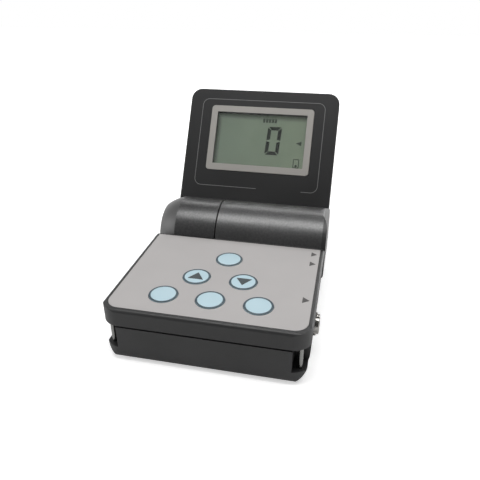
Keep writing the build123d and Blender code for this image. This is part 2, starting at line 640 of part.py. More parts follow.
def temp_jack():
    return side_jack(TEMP_JACK_Y, TEMP_NOSE_RADIUS, TEMP_BODY, TEMP_LENGTH, TEMP_BORE, TEMP_LENGTH - WALL)


def power_jack():
    jack = side_jack(POWER_JACK_Y, POWER_NOSE_RADIUS, POWER_BODY, POWER_LENGTH, POWER_BORE,
                     POWER_BORE_DEPTH)
    return jack - disc_x(0, HALF, POWER_JACK_Y, SOCKET_Z, POWER_PIN_RADIUS + STRAP_POST_FIT)


def power_pin():
    face = HALF - NOSE_SETBACK
    return disc_x(face - POWER_LENGTH, face - POWER_PIN_INSET, POWER_JACK_Y, SOCKET_Z, POWER_PIN_RADIUS)


def strap_posts():
    pair = posts(STRAP_POST_RADIUS, STRAP_RECESS_BOTTOM - STRAP_POST_SEAT + HAIR,
                 CASE_SEAM + STRAP_POST_SEAT - HAIR)
    return Compound(children=list(pair.solids()))


def rubber_feet():
    pads = []
    for x, y in FOOT_PLACES:
        pad = disc_z(x, y, 0, FLOOR_UNDERSIDE + FOOT_DEPTH, FOOT_RADIUS)
        pads.append(fillet(pad.edges().group_by(Axis.Z)[0], FOOT_EDGE_RADIUS).solid())
    return Compound(children=pads)


def case_screws():
    one = screw(SCREW_HEAD_RADIUS, SCREW_HEAD_HEIGHT, SCREW_RADIUS, SCREW_HEAD_HEIGHT + SCREW_REACH)
    return Compound(children=[(Pos(x, y, SCREW_SEAT_Z) * one).solid() for x, y in FOOT_PLACES])


def battery_cover():
    plate = cover_plate(0)
    lining_top = FLOOR_UNDERSIDE + WALL - BATTERY_FIT / 2
    lining = bay(-COVER_CLEARANCE) & block(-BEYOND, BEYOND, -BEYOND, BEYOND, FLOOR_UNDERSIDE, lining_top)
    cover = plate + lining + cover_tabs(0, 0)
    front = BAY_Y - BATTERY_WIDTH / 2
    for i in range(GRIP_RIBS):
        y = front + GRIP_PITCH * i
        cover -= block(BAY_X - GRIP_HALF, BAY_X + GRIP_HALF, y, y + GRIP_GROOVE, FLOOR_UNDERSIDE - 1,
                       FLOOR_UNDERSIDE + GRIP_DEPTH)
    return cover


def battery():
    x0 = BAY_X + SNAP_SPACE / 2 - BATTERY_LENGTH / 2
    low = FLOOR_UNDERSIDE + WALL
    body = block(x0, x0 + BATTERY_LENGTH, BAY_Y - BATTERY_WIDTH / 2, BAY_Y + BATTERY_WIDTH / 2,
                 low, low + BATTERY_HEIGHT)
    return fillet(body.edges().filter_by(Axis.X), BATTERY_CORNER)


def battery_snap():
    """The snap connector on the battery's end: a plate with two round studs."""
    x1 = BAY_X + SNAP_SPACE / 2 - BATTERY_LENGTH / 2 - HAIR
    z = FLOOR_UNDERSIDE + WALL + BATTERY_HEIGHT / 2
    plate = block(x1 - STUD_LENGTH - SNAP_THICKNESS, x1 - STUD_LENGTH, BAY_Y - SNAP_WIDTH / 2,
                  BAY_Y + SNAP_WIDTH / 2, z - SNAP_HEIGHT / 2, z + SNAP_HEIGHT / 2)
    for side in (-1, 1):
        plate += disc_x(x1 - STUD_LENGTH - HAIR, x1, BAY_Y + side * STUD_SPACING / 2, z, STUD_RADIUS)
    return plate


def hinge_screw_angles():
    return [30 + 120 * i for i in range(HINGE_SCREW_COUNT)]


def hinge_screw_place(angle):
    """Y and Z of one of the spindle's screws."""
    turn = radians(angle)
    return (HINGE_Y + HINGE_SCREW_CIRCLE * cos(turn), HINGE_Z + HINGE_SCREW_CIRCLE * sin(turn))


def hinge_screw_hole(angle, grow):
    y, z = hinge_screw_place(angle)
    x0 = FIXED_LEFT + WALL * 0.25
    return disc_x(x0 - grow, FIXED_LEFT + WALL + SPINDLE_FLANGE + HAIR, y, z, BOARD_SCREW_RADIUS + grow)


def hinge_spindle():
    """Hollow spindle, its flange against the inside of the fixed barrel's end wall."""
    inner_face = FIXED_LEFT + WALL
    spindle = disc_x(SPINDLE_END_X, inner_face, HINGE_Y, HINGE_Z, SPINDLE_RADIUS)
    spindle += disc_x(inner_face, inner_face + SPINDLE_FLANGE, HINGE_Y, HINGE_Z, SPINDLE_FLANGE_RADIUS)
    spindle -= disc_x(-BEYOND, BEYOND, HINGE_Y, HINGE_Z, SPINDLE_BORE)
    groove = clip_place()
    ring = disc_x(groove - CLIP_THICKNESS - HAIR, groove + HAIR, HINGE_Y, HINGE_Z, SPINDLE_RADIUS + WALL)
    ring -= disc_x(-BEYOND, BEYOND, HINGE_Y, HINGE_Z, SPINDLE_RADIUS - CLIP_GROOVE_DEPTH)
    spindle -= ring
    for angle in hinge_screw_angles():
        spindle -= hinge_screw_hole(angle, SCREW_HOLE_CLEARANCE)
    return spindle


def clip_place():
    """Right face of the retaining ring."""
    return BEARING_WEB_X - BEARING_WEB - WASHER_THICKNESS - 2 * HAIR


def hinge_washer():
    x1 = BEARING_WEB_X - BEARING_WEB - HAIR
    washer = disc_x(x1 - WASHER_THICKNESS, x1, HINGE_Y, HINGE_Z, WASHER_RADIUS)
    return washer - disc_x(-BEYOND, BEYOND, HINGE_Y, HINGE_Z, SPINDLE_RADIUS + 4 * SPINDLE_CLEARANCE)


def hinge_clip():
    """Open retaining ring snapped into the spindle's groove."""
    x1 = clip_place()
    clip = disc_x(x1 - CLIP_THICKNESS, x1, HINGE_Y, HINGE_Z, CLIP_RADIUS)
    clip -= disc_x(-BEYOND, BEYOND, HINGE_Y, HINGE_Z, SPINDLE_RADIUS - CLIP_GROOVE_DEPTH + SPINDLE_CLEARANCE)
    mouth = CLIP_RADIUS * sin(radians(CLIP_OPENING_ANGLE / 2))
    return clip - block(x1 - WALL, x1 + WALL, HINGE_Y - mouth, HINGE_Y + mouth, HINGE_Z - 2 * CLIP_RADIUS,
                        HINGE_Z)


def hinge_screws():
    one = screw(BOARD_SCREW_HEAD - HAIR, BOARD_SCREW_HEAD_HEIGHT, BOARD_SCREW_RADIUS,
                SPINDLE_FLANGE + WALL * 0.75)
    face = FIXED_LEFT + WALL + SPINDLE_FLANGE
    places = [Pos(face, *hinge_screw_place(angle)) * Rot(0, -90, 0) for angle in hinge_screw_angles()]
    return Compound(children=[(place * one).solid() for place in places])


def hinge_cable():
    """Cable from its plug on the main board, through the hollow spindle, to the spindle's mouth."""
    start = (CABLE_X, BOARD_REAR - CABLE_PLUG_INSET + HAIR, BOARD_TOP - BOARD_THICKNESS - CABLE_PLUG_HEIGHT / 2)
    path = FilletPolyline(start, (CABLE_X, HINGE_Y, HINGE_Z), (SPINDLE_END_X - CABLE_END, HINGE_Y, HINGE_Z),
                          radius=CABLE_BEND)
    return swept_round(path, CABLE_RADIUS)


def display_cable():
    """Cable from the spindle's mouth, through the barrel wall, to the display board."""
    board_face = PANEL_Z - PANEL_WALL - LCD_FIT - 2 * LCD_GLASS - STRIP_HEIGHT
    level = board_face + DISPLAY_CABLE_RADIUS + LCD_FIT
    turn_y = sqrt(TUBE_BORE ** 2 - (level + LCD_GLASS / 3) ** 2)
    path = FilletPolyline((CABLE_MOUTH_X, *DISPLAY_CABLE_START), (RIBBON_SLOT_X, turn_y, level + LCD_GLASS / 3),
                          (RIBBON_SLOT_X, WINDOW_BOTTOM - DISPLAY_BOARD_MARGIN + 3 * DISPLAY_CABLE_RADIUS, level),
                          radius=2 * DISPLAY_CABLE_RADIUS)
    return swept_round(path, DISPLAY_CABLE_RADIUS)


def swept_round(path, radius):
    return sweep(Plane(origin=path @ 0, z_dir=path % 0) * Circle(radius), path=path)


def in_place(shape):
    """Turn a display piece from its own frame to where it stands when open."""
    return Pos(0, HINGE_Y, HINGE_Z) * Rot(90 - LEAN_ANGLE, 0, 0) * shape


def panel_outer():
    """The whole panel as one block, the hinge side still square."""
    body = rounded_plate(PANEL_WIDTH, PANEL_LIP, PANEL_TOP, 0, PANEL_BACK, PANEL_Z, rear_corner=PANEL_CORNER)
    back_edges = body.faces().sort_by(Axis.Z)[0].edges().filter_by(lambda e: e.center().Y > PANEL_LIP + 1)
    body = fillet(back_edges, PANEL_BACK_RADIUS)
    front_edges = body.faces().sort_by(Axis.Z)[-1].edges().filter_by(lambda e: e.center().Y > PANEL_LIP + 1)
    return fillet(front_edges, PANEL_FACE_RADIUS)


def bar(x0, x1, radius):
    """A round bar on the hinge axis, in the display's own frame."""
    return disc_x(x0, x1, 0, 0, radius)


def barrel_clearance(grow):
    """What the panel leaves free over the fixed barrel and round the end cap."""
    over_fixed = bar(MOVING_RIGHT - grow, BEYOND, BARREL_RADIUS + RUN_GAP + grow)
    over_cap = bar(-BEYOND, CAP_CREASE_X + grow, BARREL_RADIUS + PANEL_SEAT_GAP * 2 + grow)
    return over_fixed + over_cap


def panel_cavity():
    half = PANEL_HALF - PANEL_WALL
    room = rounded_plate(2 * half, 0, PANEL_TOP - PANEL_WALL, 0, PANEL_BACK + PANEL_WALL, PANEL_Z - PANEL_WALL,
                         rear_corner=PANEL_CORNER - PANEL_WALL)
    room -= barrel_clearance(PANEL_WALL)
    return room - bar(-BEYOND, BEYOND, BARREL_RADIUS + PANEL_WALL)


def display_screw_places():
    return [(sx * DISPLAY_SCREW_X, y) for sx in (-1, 1) for y in (DISPLAY_SCREW_LOW, DISPLAY_SCREW_HIGH)]


def display_posts(radius, z0, z1):
    return Part() + [disc_z(x, y, z0, z1, radius) for x, y in display_screw_places()]


def display_front():
    """Front shell of the panel with the moving barrel in one piece."""
    front_half = block(-BEYOND, BEYOND, -BEYOND, BEYOND, PANEL_SPLIT, BEYOND)
    shell = (panel_outer() & front_half) - barrel_clearance(0)
    shell = shell - bar(CAP_CREASE_X, MOVING_RIGHT, BARREL_RADIUS - WALL / 2)
    barrel = bar(CAP_CREASE_X, MOVING_RIGHT, BARREL_RADIUS)
    barrel = fillet(barrel.edges().filter_by(GeomType.CIRCLE).sort_by(Axis.X)[-1], BARREL_EDGE_RADIUS)
    shell = shell + barrel
    cavity = panel_cavity() - display_posts(DISPLAY_BOSS_RADIUS, PANEL_SPLIT, PANEL_Z)
    shell -= cavity
    hollow = bar(CAP_CREASE_X - 1, MOVING_RIGHT - WALL, TUBE_BORE)
    web = bar(BEARING_WEB_X - BEARING_WEB, BEARING_WEB_X, TUBE_BORE)
    shell -= hollow - web
    shell -= bar(-BEYOND, MOVING_RIGHT + 1, SPINDLE_RADIUS + SPINDLE_CLEARANCE)
    shell -= block(RIBBON_SLOT_X - RIBBON_SLOT_WIDTH / 2, RIBBON_SLOT_X + RIBBON_SLOT_WIDTH / 2,
                   PANEL_LIP, BARREL_RADIUS + WALL, PANEL_SPLIT, PANEL_Z - WALL * 1.2)
    seat = rounded_plate(FRAME_WIDTH + 2 * FRAME_FIT, FRAME_BOTTOM - FRAME_FIT, FRAME_TOP + FRAME_FIT,
                         FRAME_CORNER, PANEL_Z - FRAME_SEAT, PANEL_Z + 1)
    window = block(-WINDOW_WIDTH / 2, WINDOW_WIDTH / 2, WINDOW_BOTTOM, WINDOW_TOP, PANEL_Z - 2 * WALL,
                   PANEL_Z + 1)
    shell -= seat + window
    shell -= display_posts(DISPLAY_SCREW_RADIUS + SCREW_PILOT_FIT, PANEL_SPLIT, PANEL_Z - PANEL_WALL)
    return shell


def display_back():
    """Rear shell of the panel, its lower lip lying on the barrel."""
    back_half = block(-BEYOND, BEYOND, -BEYOND, BEYOND, -BEYOND, PANEL_SPLIT)
    shell = (panel_outer() & back_half) - barrel_clearance(0)
    shell -= bar(-BEYOND, BEYOND, BARREL_RADIUS + PANEL_SEAT_GAP)
    shell -= panel_cavity() - display_posts(DISPLAY_BOSS_RADIUS, PANEL_BACK, PANEL_SPLIT)
    board_back = PANEL_Z - PANEL_WALL - LCD_FIT - 2 * LCD_GLASS - STRIP_HEIGHT - DISPLAY_BOARD_THICKNESS
    half = WINDOW_WIDTH / 2
    for x in (-half, half):
        for y in (WINDOW_BOTTOM, WINDOW_TOP):
            shell += disc_z(x, y, PANEL_BACK + PANEL_WALL / 2, board_back - BOARD_PAD_GAP, BOARD_PAD_RADIUS)
    shell -= display_posts(DISPLAY_SCREW_RADIUS + SCREW_HOLE_CLEARANCE, PANEL_BACK - 1, PANEL_SPLIT)
    shell -= display_posts(DISPLAY_SCREW_HEAD + SCREW_HOLE_CLEARANCE, PANEL_BACK - 1,
                           PANEL_BACK + DISPLAY_SCREW_HEAD_HEIGHT + DISPLAY_SCREW_SUNK)
    return shell


def display_screws():
    seat = PANEL_BACK + DISPLAY_SCREW_HEAD_HEIGHT + DISPLAY_SCREW_SUNK
    length = PANEL_Z - PANEL_WALL - BOARD_PAD_RADIUS / 3 - seat
    one = screw(DISPLAY_SCREW_HEAD, DISPLAY_SCREW_HEAD_HEIGHT, DISPLAY_SCREW_RADIUS, length)
    return Compound(children=[(Pos(x, y, seat) * one).solid() for x, y in display_screw_places()])


def hinge_end_cap():
    """Domed cap: a crease at the barrel, then a rounded fall to a flat end."""
    tube = TUBE_BORE - CAP_SPIGOT_CLEARANCE
    shell = WALL * 0.8
    round_end = (-HALF + CAP_END_BEVEL, CAP_END_RADIUS + CAP_END_BEVEL)
    arc = ThreePointArc((CAP_CREASE_X, BARREL_RADIUS), (CAP_MID_X, CAP_MID_RADIUS), round_end)
    skin = Polyline(round_end, (-HALF, CAP_END_RADIUS - CAP_END_BEVEL), (-HALF, 0),
                    (-HALF + shell, 0), (-HALF + shell, CAP_END_RADIUS - shell),
                    (CAP_MID_X, CAP_MID_RADIUS - shell),
                    (CAP_CREASE_X + CAP_SPIGOT_LENGTH, tube - shell), (CAP_CREASE_X + CAP_SPIGOT_LENGTH, tube),
                    (CAP_CREASE_X, tube), (CAP_CREASE_X, BARREL_RADIUS))
    return revolve(make_face(arc + skin), Axis.X)


def lcd_frame():
    """Silver frame round the window, a thin moulding with a bevelled inner edge."""
    low = PANEL_Z - FRAME_SEAT
    frame = rounded_plate(FRAME_WIDTH, FRAME_BOTTOM, FRAME_TOP, FRAME_CORNER, low, PANEL_Z + FRAME_PROUD)
    frame = fillet(frame.faces().sort_by(Axis.Z)[-1].edges(), FRAME_PROUD * 0.7)
    window = block(-WINDOW_WIDTH / 2, WINDOW_WIDTH / 2, WINDOW_BOTTOM, WINDOW_TOP, low - 1, PANEL_Z + 2)
    return frame - window


def window_lens():
    top = PANEL_Z - LENS_DEPTH
    return block(-WINDOW_WIDTH / 2 + LENS_FIT, WINDOW_WIDTH / 2 - LENS_FIT, WINDOW_BOTTOM + LENS_FIT,
                 WINDOW_TOP - LENS_FIT, top - LENS_THICKNESS, top)


def lcd_glass():
    """Two panes; the rear one is taller, so its contacts stay free along both long edges."""
    top = PANEL_Z - PANEL_WALL - LCD_FIT
    half = WINDOW_WIDTH / 2 + LCD_MARGIN
    front = block(-half, half, WINDOW_BOTTOM - LCD_MARGIN + LCD_STEP / 2, WINDOW_TOP + LCD_MARGIN - LCD_STEP / 2,
                  top - LCD_GLASS, top)
    rear = block(-half, half, WINDOW_BOTTOM - LCD_MARGIN, WINDOW_TOP + LCD_MARGIN,
                 top - 2 * LCD_GLASS, top - LCD_GLASS)
    return front + rear


def elastomer_strips():
    high = PANEL_Z - PANEL_WALL - LCD_FIT - 2 * LCD_GLASS
    half = WINDOW_WIDTH / 2
    strips = []
    for y in (WINDOW_BOTTOM - LCD_MARGIN + STRIP_INSET, WINDOW_TOP + LCD_MARGIN - STRIP_INSET - STRIP_THICKNESS):
        strips.append(block(-half, half, y, y + STRIP_THICKNESS, high - STRIP_HEIGHT, high).solid())
    return Compound(children=strips)


def display_board():
    high = PANEL_Z - PANEL_WALL - LCD_FIT - 2 * LCD_GLASS - STRIP_HEIGHT
    half = WINDOW_WIDTH / 2 + DISPLAY_BOARD_MARGIN
    return block(-half, half, WINDOW_BOTTOM - DISPLAY_BOARD_MARGIN, WINDOW_TOP + DISPLAY_BOARD_MARGIN,
                 high - DISPLAY_BOARD_THICKNESS, high)


def write(name, shape):
    shape.label = name
    export_step(shape, f"parts/{name}.step")


def build():
    outer = case_body(0)
    inner = case_body(WALL)
    write("lower_case", lower_case(outer, inner))
    write("upper_case", upper_case(outer, inner))
    write("keypad_overlay", keypad_overlay())
    for name, (x, y) in KEY_PLACES.items():
        write(name, key(x, y))
    for maker in (snap_domes, main_board, board_chips, board_screws, bnc_shell, bnc_insulator, bnc_contact,
                  bnc_nut, temp_jack, power_jack, power_pin, strap_posts, rubber_feet, case_screws,
                  battery_cover, battery, battery_snap, hinge_spindle, hinge_washer, hinge_clip, hinge_screws,
                  hinge_cable):
        write(maker.__name__, maker())
    for maker in (display_front, display_back, display_screws, hinge_end_cap, lcd_frame, window_lens,
                  lcd_glass, elastomer_strips, display_board, display_cable):
        write(maker.__name__, in_place(maker()))


build()
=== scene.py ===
# A hand-held salinity meter with a flip-up display, dressed for its picture.
# Metres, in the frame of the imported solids: +X to the user's right, +Y away, +Z up.
import bpy
import bmesh
import json
from math import cos, pi, radians, sin
from mathutils import Matrix, Vector


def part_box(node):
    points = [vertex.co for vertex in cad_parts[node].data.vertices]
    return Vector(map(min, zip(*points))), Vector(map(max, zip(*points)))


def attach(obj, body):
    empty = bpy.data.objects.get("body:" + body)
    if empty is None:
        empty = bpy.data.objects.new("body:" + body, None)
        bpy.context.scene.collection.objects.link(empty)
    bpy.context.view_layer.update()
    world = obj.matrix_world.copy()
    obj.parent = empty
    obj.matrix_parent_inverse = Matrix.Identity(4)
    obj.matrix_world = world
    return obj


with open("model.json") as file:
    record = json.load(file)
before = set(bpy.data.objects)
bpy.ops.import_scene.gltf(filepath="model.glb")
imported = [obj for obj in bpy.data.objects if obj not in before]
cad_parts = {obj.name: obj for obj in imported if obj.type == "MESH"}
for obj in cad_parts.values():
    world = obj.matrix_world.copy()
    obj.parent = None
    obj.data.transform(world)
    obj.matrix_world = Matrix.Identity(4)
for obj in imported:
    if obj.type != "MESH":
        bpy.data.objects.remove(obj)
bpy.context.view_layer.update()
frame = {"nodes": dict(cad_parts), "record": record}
scene = bpy.context.scene

# The view: a camera a little over a quarter of a metre away, in front of the meter, above it and
# slightly to its right, so that the keys are nearest to it.
camera_data = bpy.data.cameras.new("camera")
camera_data.sensor_width = 36.0
camera_data.lens = 37.28
camera = bpy.data.objects.new("camera", camera_data)
scene.collection.objects.link(camera)
camera_place = Vector((0.05559, -0.22848, 0.16362))
camera_aim = Vector((0.00417, 0.00445, 0.03714))
camera_roll = radians(-0.16)
camera.location = camera_place
looking = (camera_aim - camera_place).to_track_quat("-Z", "Y").to_matrix()
camera.rotation_euler = (looking @ Matrix.Rotation(camera_roll, 3, "Z")).to_euler()
scene.camera = camera
scene.view_settings.view_transform = "Standard"


# The table and the light: a white sheet that runs out of sight, and four soft lamps. A broad one hangs
# over the hinge barrel, a long narrow one behind the meter and a square one far to its left, and a
# small low one stands behind at the right. The room in front of the meter is dim.
def srgb(red, green, blue):
    """A colour as the eye reads it, from 0 to 255, made linear."""
    parts = [part / 255 for part in (red, green, blue)]
    return [p / 12.92 if p <= 0.04 else ((p + 0.055) / 1.055) ** 2.4 for p in parts] + [1.0]


def node(tree, kind, inputs=None, **settings):
    """One shader node; an input is a number, a colour or another node's output."""
    made = tree.nodes.new("ShaderNode" + kind)
    for key, value in settings.items():
        setattr(made, key, value)
    for key, value in (inputs or {}).items():
        if isinstance(value, bpy.types.NodeSocket):
            tree.links.new(value, made.inputs[key])
        else:
            made.inputs[key].default_value = value
    return made


def surface(name, color, roughness, **plain):
    """A material with its own principled shader; plain values sit on the shader's sockets."""
    made = bpy.data.materials.new(name)
    made.use_nodes = True
    shader = made.node_tree.nodes["Principled BSDF"]
    values = {"Base Color": color, "Roughness": roughness}
    values.update({key.replace("_", " "): value for key, value in plain.items()})
    for key, value in values.items():
        shader.inputs[key].default_value = value
    return made, made.node_tree, shader


def mesh_piece(name, form, material):
    """An object made of a bmesh, which is used up."""
    data = bpy.data.meshes.new(name)
    form.to_mesh(data)
    form.free()
    data.materials.append(material)
    made = bpy.data.objects.new(name, data)
    scene.collection.objects.link(made)
    return made


# The camera sees the sheet turn from a lit grey near the meter to plain white further off.
table_size = 3.0
table_squares = 8
glow_near, glow_far = 0.12, 0.50
near_glow = 0.52
table_look, tree, shader = surface("table_white", srgb(236, 236, 236), 0.9, Specular_IOR_Level=0.1)
path = node(tree, "LightPath").outputs
spot = node(tree, "NewGeometry").outputs["Position"]
distance = node(tree, "VectorMath", {0: spot}, operation="LENGTH")
seen_glow = node(tree, "MapRange", {"Value": distance.outputs["Value"], "From Min": glow_near,
                                    "From Max": glow_far, "To Min": near_glow, "To Max": 1.0})
# Mirrors and glass see no glow from the sheet in front and at the left, and white further off.
dim_middle = (-0.10, -0.15, 0.0)
dim_reach, white_reach = 0.15, 0.50
apart = node(tree, "VectorMath", {0: spot, 1: dim_middle}, operation="DISTANCE")
far_glow = node(tree, "MapRange", {"Value": apart.outputs["Value"], "From Min": dim_reach,
                                   "From Max": white_reach})
bent = node(tree, "Math", {0: path["Is Glossy Ray"], 1: path["Is Transmission Ray"]}, operation="MAXIMUM")
bent_glow = node(tree, "Math", {0: bent.outputs[0], 1: far_glow.outputs[0]}, operation="MULTIPLY")
glow = node(tree, "Mix", {0: path["Is Camera Ray"], 2: bent_glow.outputs[0], 3: seen_glow.outputs[0]})
shader.inputs["Emission Color"].default_value = srgb(255, 255, 255)
tree.links.new(glow.outputs[0], shader.inputs["Emission Strength"])
form = bmesh.new()
bmesh.ops.create_grid(form, x_segments=table_squares, y_segments=table_squares, size=table_size / 2)
table = mesh_piece("table", form, table_look)

world = bpy.data.worlds.new("studio")
scene.world = world
world.use_nodes = True
tree = world.node_tree
tree.nodes.clear()
studio_level = 0.16
floor_share, ceiling_share = 0.25, 1.5
room = node(tree, "SeparateXYZ", {0: node(tree, "TexCoord").outputs["Generated"]}).outputs
soft = node(tree, "MapRange", {"Value": room["Z"], "From Min": -0.2, "From Max": 0.9,
                               "To Min": floor_share * studio_level,
                               "To Max": ceiling_share * studio_level})
# A mirror sees the white backdrop low down behind and beside the meter, and the dim room elsewhere.
low_down = node(tree, "MapRange", {"Value": room["Z"], "From Min": 0.58, "From Max": 0.30})
behind = node(tree, "MapRange", {"Value": room["Y"], "From Min": -0.5, "From Max": 0.1})
backed = node(tree, "Math", {0: low_down.outputs[0], 1: behind.outputs[0]}, operation="MULTIPLY")
mirrored_room = 0.12
mirrored = node(tree, "MapRange", {"Value": backed.outputs[0], "To Min": mirrored_room, "To Max": 1.0})
path = node(tree, "LightPath").outputs
straight = node(tree, "Math", {0: path["Is Camera Ray"], 1: path["Is Transmission Ray"]},
                operation="MAXIMUM")
dim = node(tree, "Mix", {0: path["Is Glossy Ray"], 2: soft.outputs[0], 3: mirrored.outputs[0]})
strength = node(tree, "Mix", {0: straight.outputs[0], 2: dim.outputs[0], 3: 1.0})
backdrop = node(tree, "Background", {"Color": srgb(255, 255, 255), "Strength": strength.outputs[0]})
tree.links.new(backdrop.outputs[0], node(tree, "OutputWorld").inputs[0])


def lamp(name, place, target, width, depth, power):
    """A soft rectangular lamp at a place, turned to a target. The camera sees none of them."""
    data = bpy.data.lights.new(name, "AREA")
    data.shape = "RECTANGLE"
    data.size, data.size_y, data.energy = width, depth, power
    made = bpy.data.objects.new(name, data)
    scene.collection.objects.link(made)
    made.location = place
    made.rotation_euler = (Vector(target) - Vector(place)).to_track_quat("-Z", "Y").to_euler()
    made.visible_camera = False


lamp("lamp_over", (0.04, -0.05, 0.60), (0.04, 0.03, 0.0), 0.62, 0.22, 2.5)
lamp("lamp_rear", (0.0, 0.58, 0.54), (0.0, 0.04, 0.04), 0.60, 0.07, 1.0)
lamp("lamp_left", (-0.75, -0.30, 0.40), (0.0, 0.0, 0.03), 0.40, 0.40, 1.9)
lamp("lamp_edge", (0.48, 0.60, 0.16), (0.05, 0.0, 0.02), 0.30, 0.16, 0.9)


# Case: two moulded halves of charcoal plastic with a spark-eroded texture. They meet at a
# groove round the sides, and the right part of the hinge barrel is moulded with them.
def shader_group(name, inputs, outputs):
    """A shader node group, and its input and output sockets."""
    group = bpy.data.node_groups.new(name, "ShaderNodeTree")
    for socket, default in inputs.items():
        made = group.interface.new_socket(socket, in_out="INPUT", socket_type="NodeSocketFloat")
        made.default_value = default
    for socket, kind in outputs.items():
        group.interface.new_socket(socket, in_out="OUTPUT", socket_type="NodeSocket" + kind)
    return group, group.nodes.new("NodeGroupInput").outputs, group.nodes.new("NodeGroupOutput").inputs


def use(tree, group, inputs=None):
    """A group placed in a material, with its own values."""
    made = tree.nodes.new("ShaderNodeGroup")
    made.node_tree = group
    for key, value in (inputs or {}).items():
        made.inputs[key].default_value = value
    return made.outputs


# Fine moulded texture: Height for a bump, Shade for slow mottling, Touch for handled patches.
moulded, given, out = shader_group("moulded_texture", {"Grain Size": 0.0004, "Patch Size": 0.03},
                                   {"Height": "Float", "Shade": "Float", "Touch": "Float"})
place = node(moulded, "TexCoord").outputs["Object"]
fine_scale = node(moulded, "Math", {0: 1.0, 1: given["Grain Size"]}, operation="DIVIDE").outputs[0]
patch_scale = node(moulded, "Math", {0: 1.0, 1: given["Patch Size"]}, operation="DIVIDE").outputs[0]
fine = node(moulded, "TexNoise", {"Vector": place, "Scale": fine_scale, "Detail": 3.0, "Roughness": 0.6})
patch = node(moulded, "TexNoise", {"Vector": place, "Scale": patch_scale, "Detail": 4.0, "Roughness": 0.55})
away = (3.1, 1.7, 2.3)
aside = node(moulded, "VectorMath", {0: place, 1: away}, operation="ADD")
touch = node(moulded, "TexNoise", {"Vector": aside.outputs[0], "Scale": patch_scale, "Detail": 6.0})
moulded.links.new(fine.outputs[0], out["Height"])
moulded.links.new(patch.outputs[0], out["Shade"])
moulded.links.new(touch.outputs[0], out["Touch"])

# Worn edges: Mask is 1 where the surface turns sharply and rubbing has polished it. It compares the
# surface's own direction with that of its edges rounded by Width, and breaks the rub into patches.
flat_turn, edge_turn = 0.99, 0.85
worn, given, out = shader_group("worn_edges", {"Width": 0.0006, "Breakup Size": 0.004}, {"Mask": "Float"})
rounded = node(worn, "Bevel", {"Radius": given["Width"]}, samples=4)
turned = node(worn, "VectorMath", {0: rounded.outputs[0], 1: node(worn, "NewGeometry").outputs["Normal"]},
              operation="DOT_PRODUCT")
sharp = node(worn, "MapRange", {"Value": turned.outputs["Value"], "From Min": flat_turn,
                                "From Max": edge_turn})
breakup_scale = node(worn, "Math", {0: 1.0, 1: given["Breakup Size"]}, operation="DIVIDE").outputs[0]
place = node(worn, "TexCoord").outputs["Object"]
breakup = node(worn, "TexNoise", {"Vector": place, "Scale": breakup_scale})
patchy = node(worn, "MapRange", {"Value": breakup.outputs[0], "From Min": 0.35, "From Max": 0.65})
mask = node(worn, "Math", {0: sharp.outputs[0], 1: patchy.outputs[0]}, operation="MULTIPLY")
worn.links.new(mask.outputs[0], out["Mask"])


# Polished barrel: Gloss is high on the hinge barrel between its rounded ends, with the texture's
# grain in it, and 0 elsewhere. Middle and Half Length lie along the barrel's axis, which runs along X.
hinge = next(joint for joint in frame["record"]["behaviour"]["joints"] if joint["name"] == "display_hinge")
axis_point = Vector(hinge["pos_m"])
square_to_axis = (0.0, 1.0, 1.0)
polish, given, out = shader_group("polished_barrel", {"Radius": 0.0213, "Middle": 0.0042,
                                                      "Half Length": 0.0431, "Grain Size": 0.0011},
                                  {"Gloss": "Float"})
place = node(polish, "TexCoord").outputs["Object"]
from_axis = node(polish, "VectorMath", {0: place, 1: tuple(axis_point)}, operation="SUBTRACT")
across_axis = node(polish, "VectorMath", {0: from_axis.outputs[0], 1: square_to_axis}, operation="MULTIPLY")
reach = node(polish, "VectorMath", {0: across_axis.outputs[0]}, operation="LENGTH")
near_axis = node(polish, "Math", {0: reach.outputs["Value"], 1: given["Radius"]}, operation="LESS_THAN")
between_ends = node(polish, "Math", {0: node(polish, "SeparateXYZ", {0: place}).outputs["X"],
                                     1: given["Middle"], 2: given["Half Length"]}, operation="COMPARE")
on_barrel = node(polish, "Math", {0: near_axis.outputs[0], 1: between_ends.outputs[0]}, operation="MULTIPLY")
speck_scale = node(polish, "Math", {0: 1.0, 1: given["Grain Size"]}, operation="DIVIDE").outputs[0]
specks = node(polish, "TexNoise", {"Vector": place, "Scale": speck_scale, "Detail": 4.0, "Roughness": 0.6})
speckled = node(polish, "MapRange", {"Value": specks.outputs[0], "From Min": 0.3, "From Max": 0.7,
                                     "To Min": 0.5, "To Max": 1.0})
gloss = node(polish, "Math", {0: on_barrel.outputs[0], 1: speckled.outputs[0]}, operation="MULTIPLY")
polish.links.new(gloss.outputs[0], out["Gloss"])


def plastic(name, low, high, rough_low, rough_high, grain_size, grain_depth, edge_color=None,
            barrel_gloss=False, **plain):
    """Moulded plastic: two close tones, handled patches and a fine texture. Rubbed edges and the
    polished barrel only where they are asked for."""
    made, tree, shader = surface(name, high, rough_high, **plain)
    texture = use(tree, moulded, {"Grain Size": grain_size})
    tone = node(tree, "Mix", {0: texture["Shade"], 6: low, 7: high}, data_type="RGBA").outputs[2]
    if edge_color:
        rubbed = use(tree, worn)["Mask"]
        tone = node(tree, "Mix", {0: rubbed, 6: tone, 7: edge_color}, data_type="RGBA").outputs[2]
    gloss = node(tree, "MapRange", {"Value": texture["Touch"], "From Min": 0.3, "From Max": 0.7,
                                    "To Min": rough_low, "To Max": rough_high})
    bump = node(tree, "Bump", {"Height": texture["Height"], "Strength": 0.5, "Distance": grain_depth})
    tree.links.new(tone, shader.inputs["Base Color"])
    tree.links.new(gloss.outputs[0], shader.inputs["Roughness"])
    tree.links.new(bump.outputs[0], shader.inputs["Normal"])
    if barrel_gloss:
        tree.links.new(use(tree, polish)["Gloss"], shader.inputs["Coat Weight"])
    return made


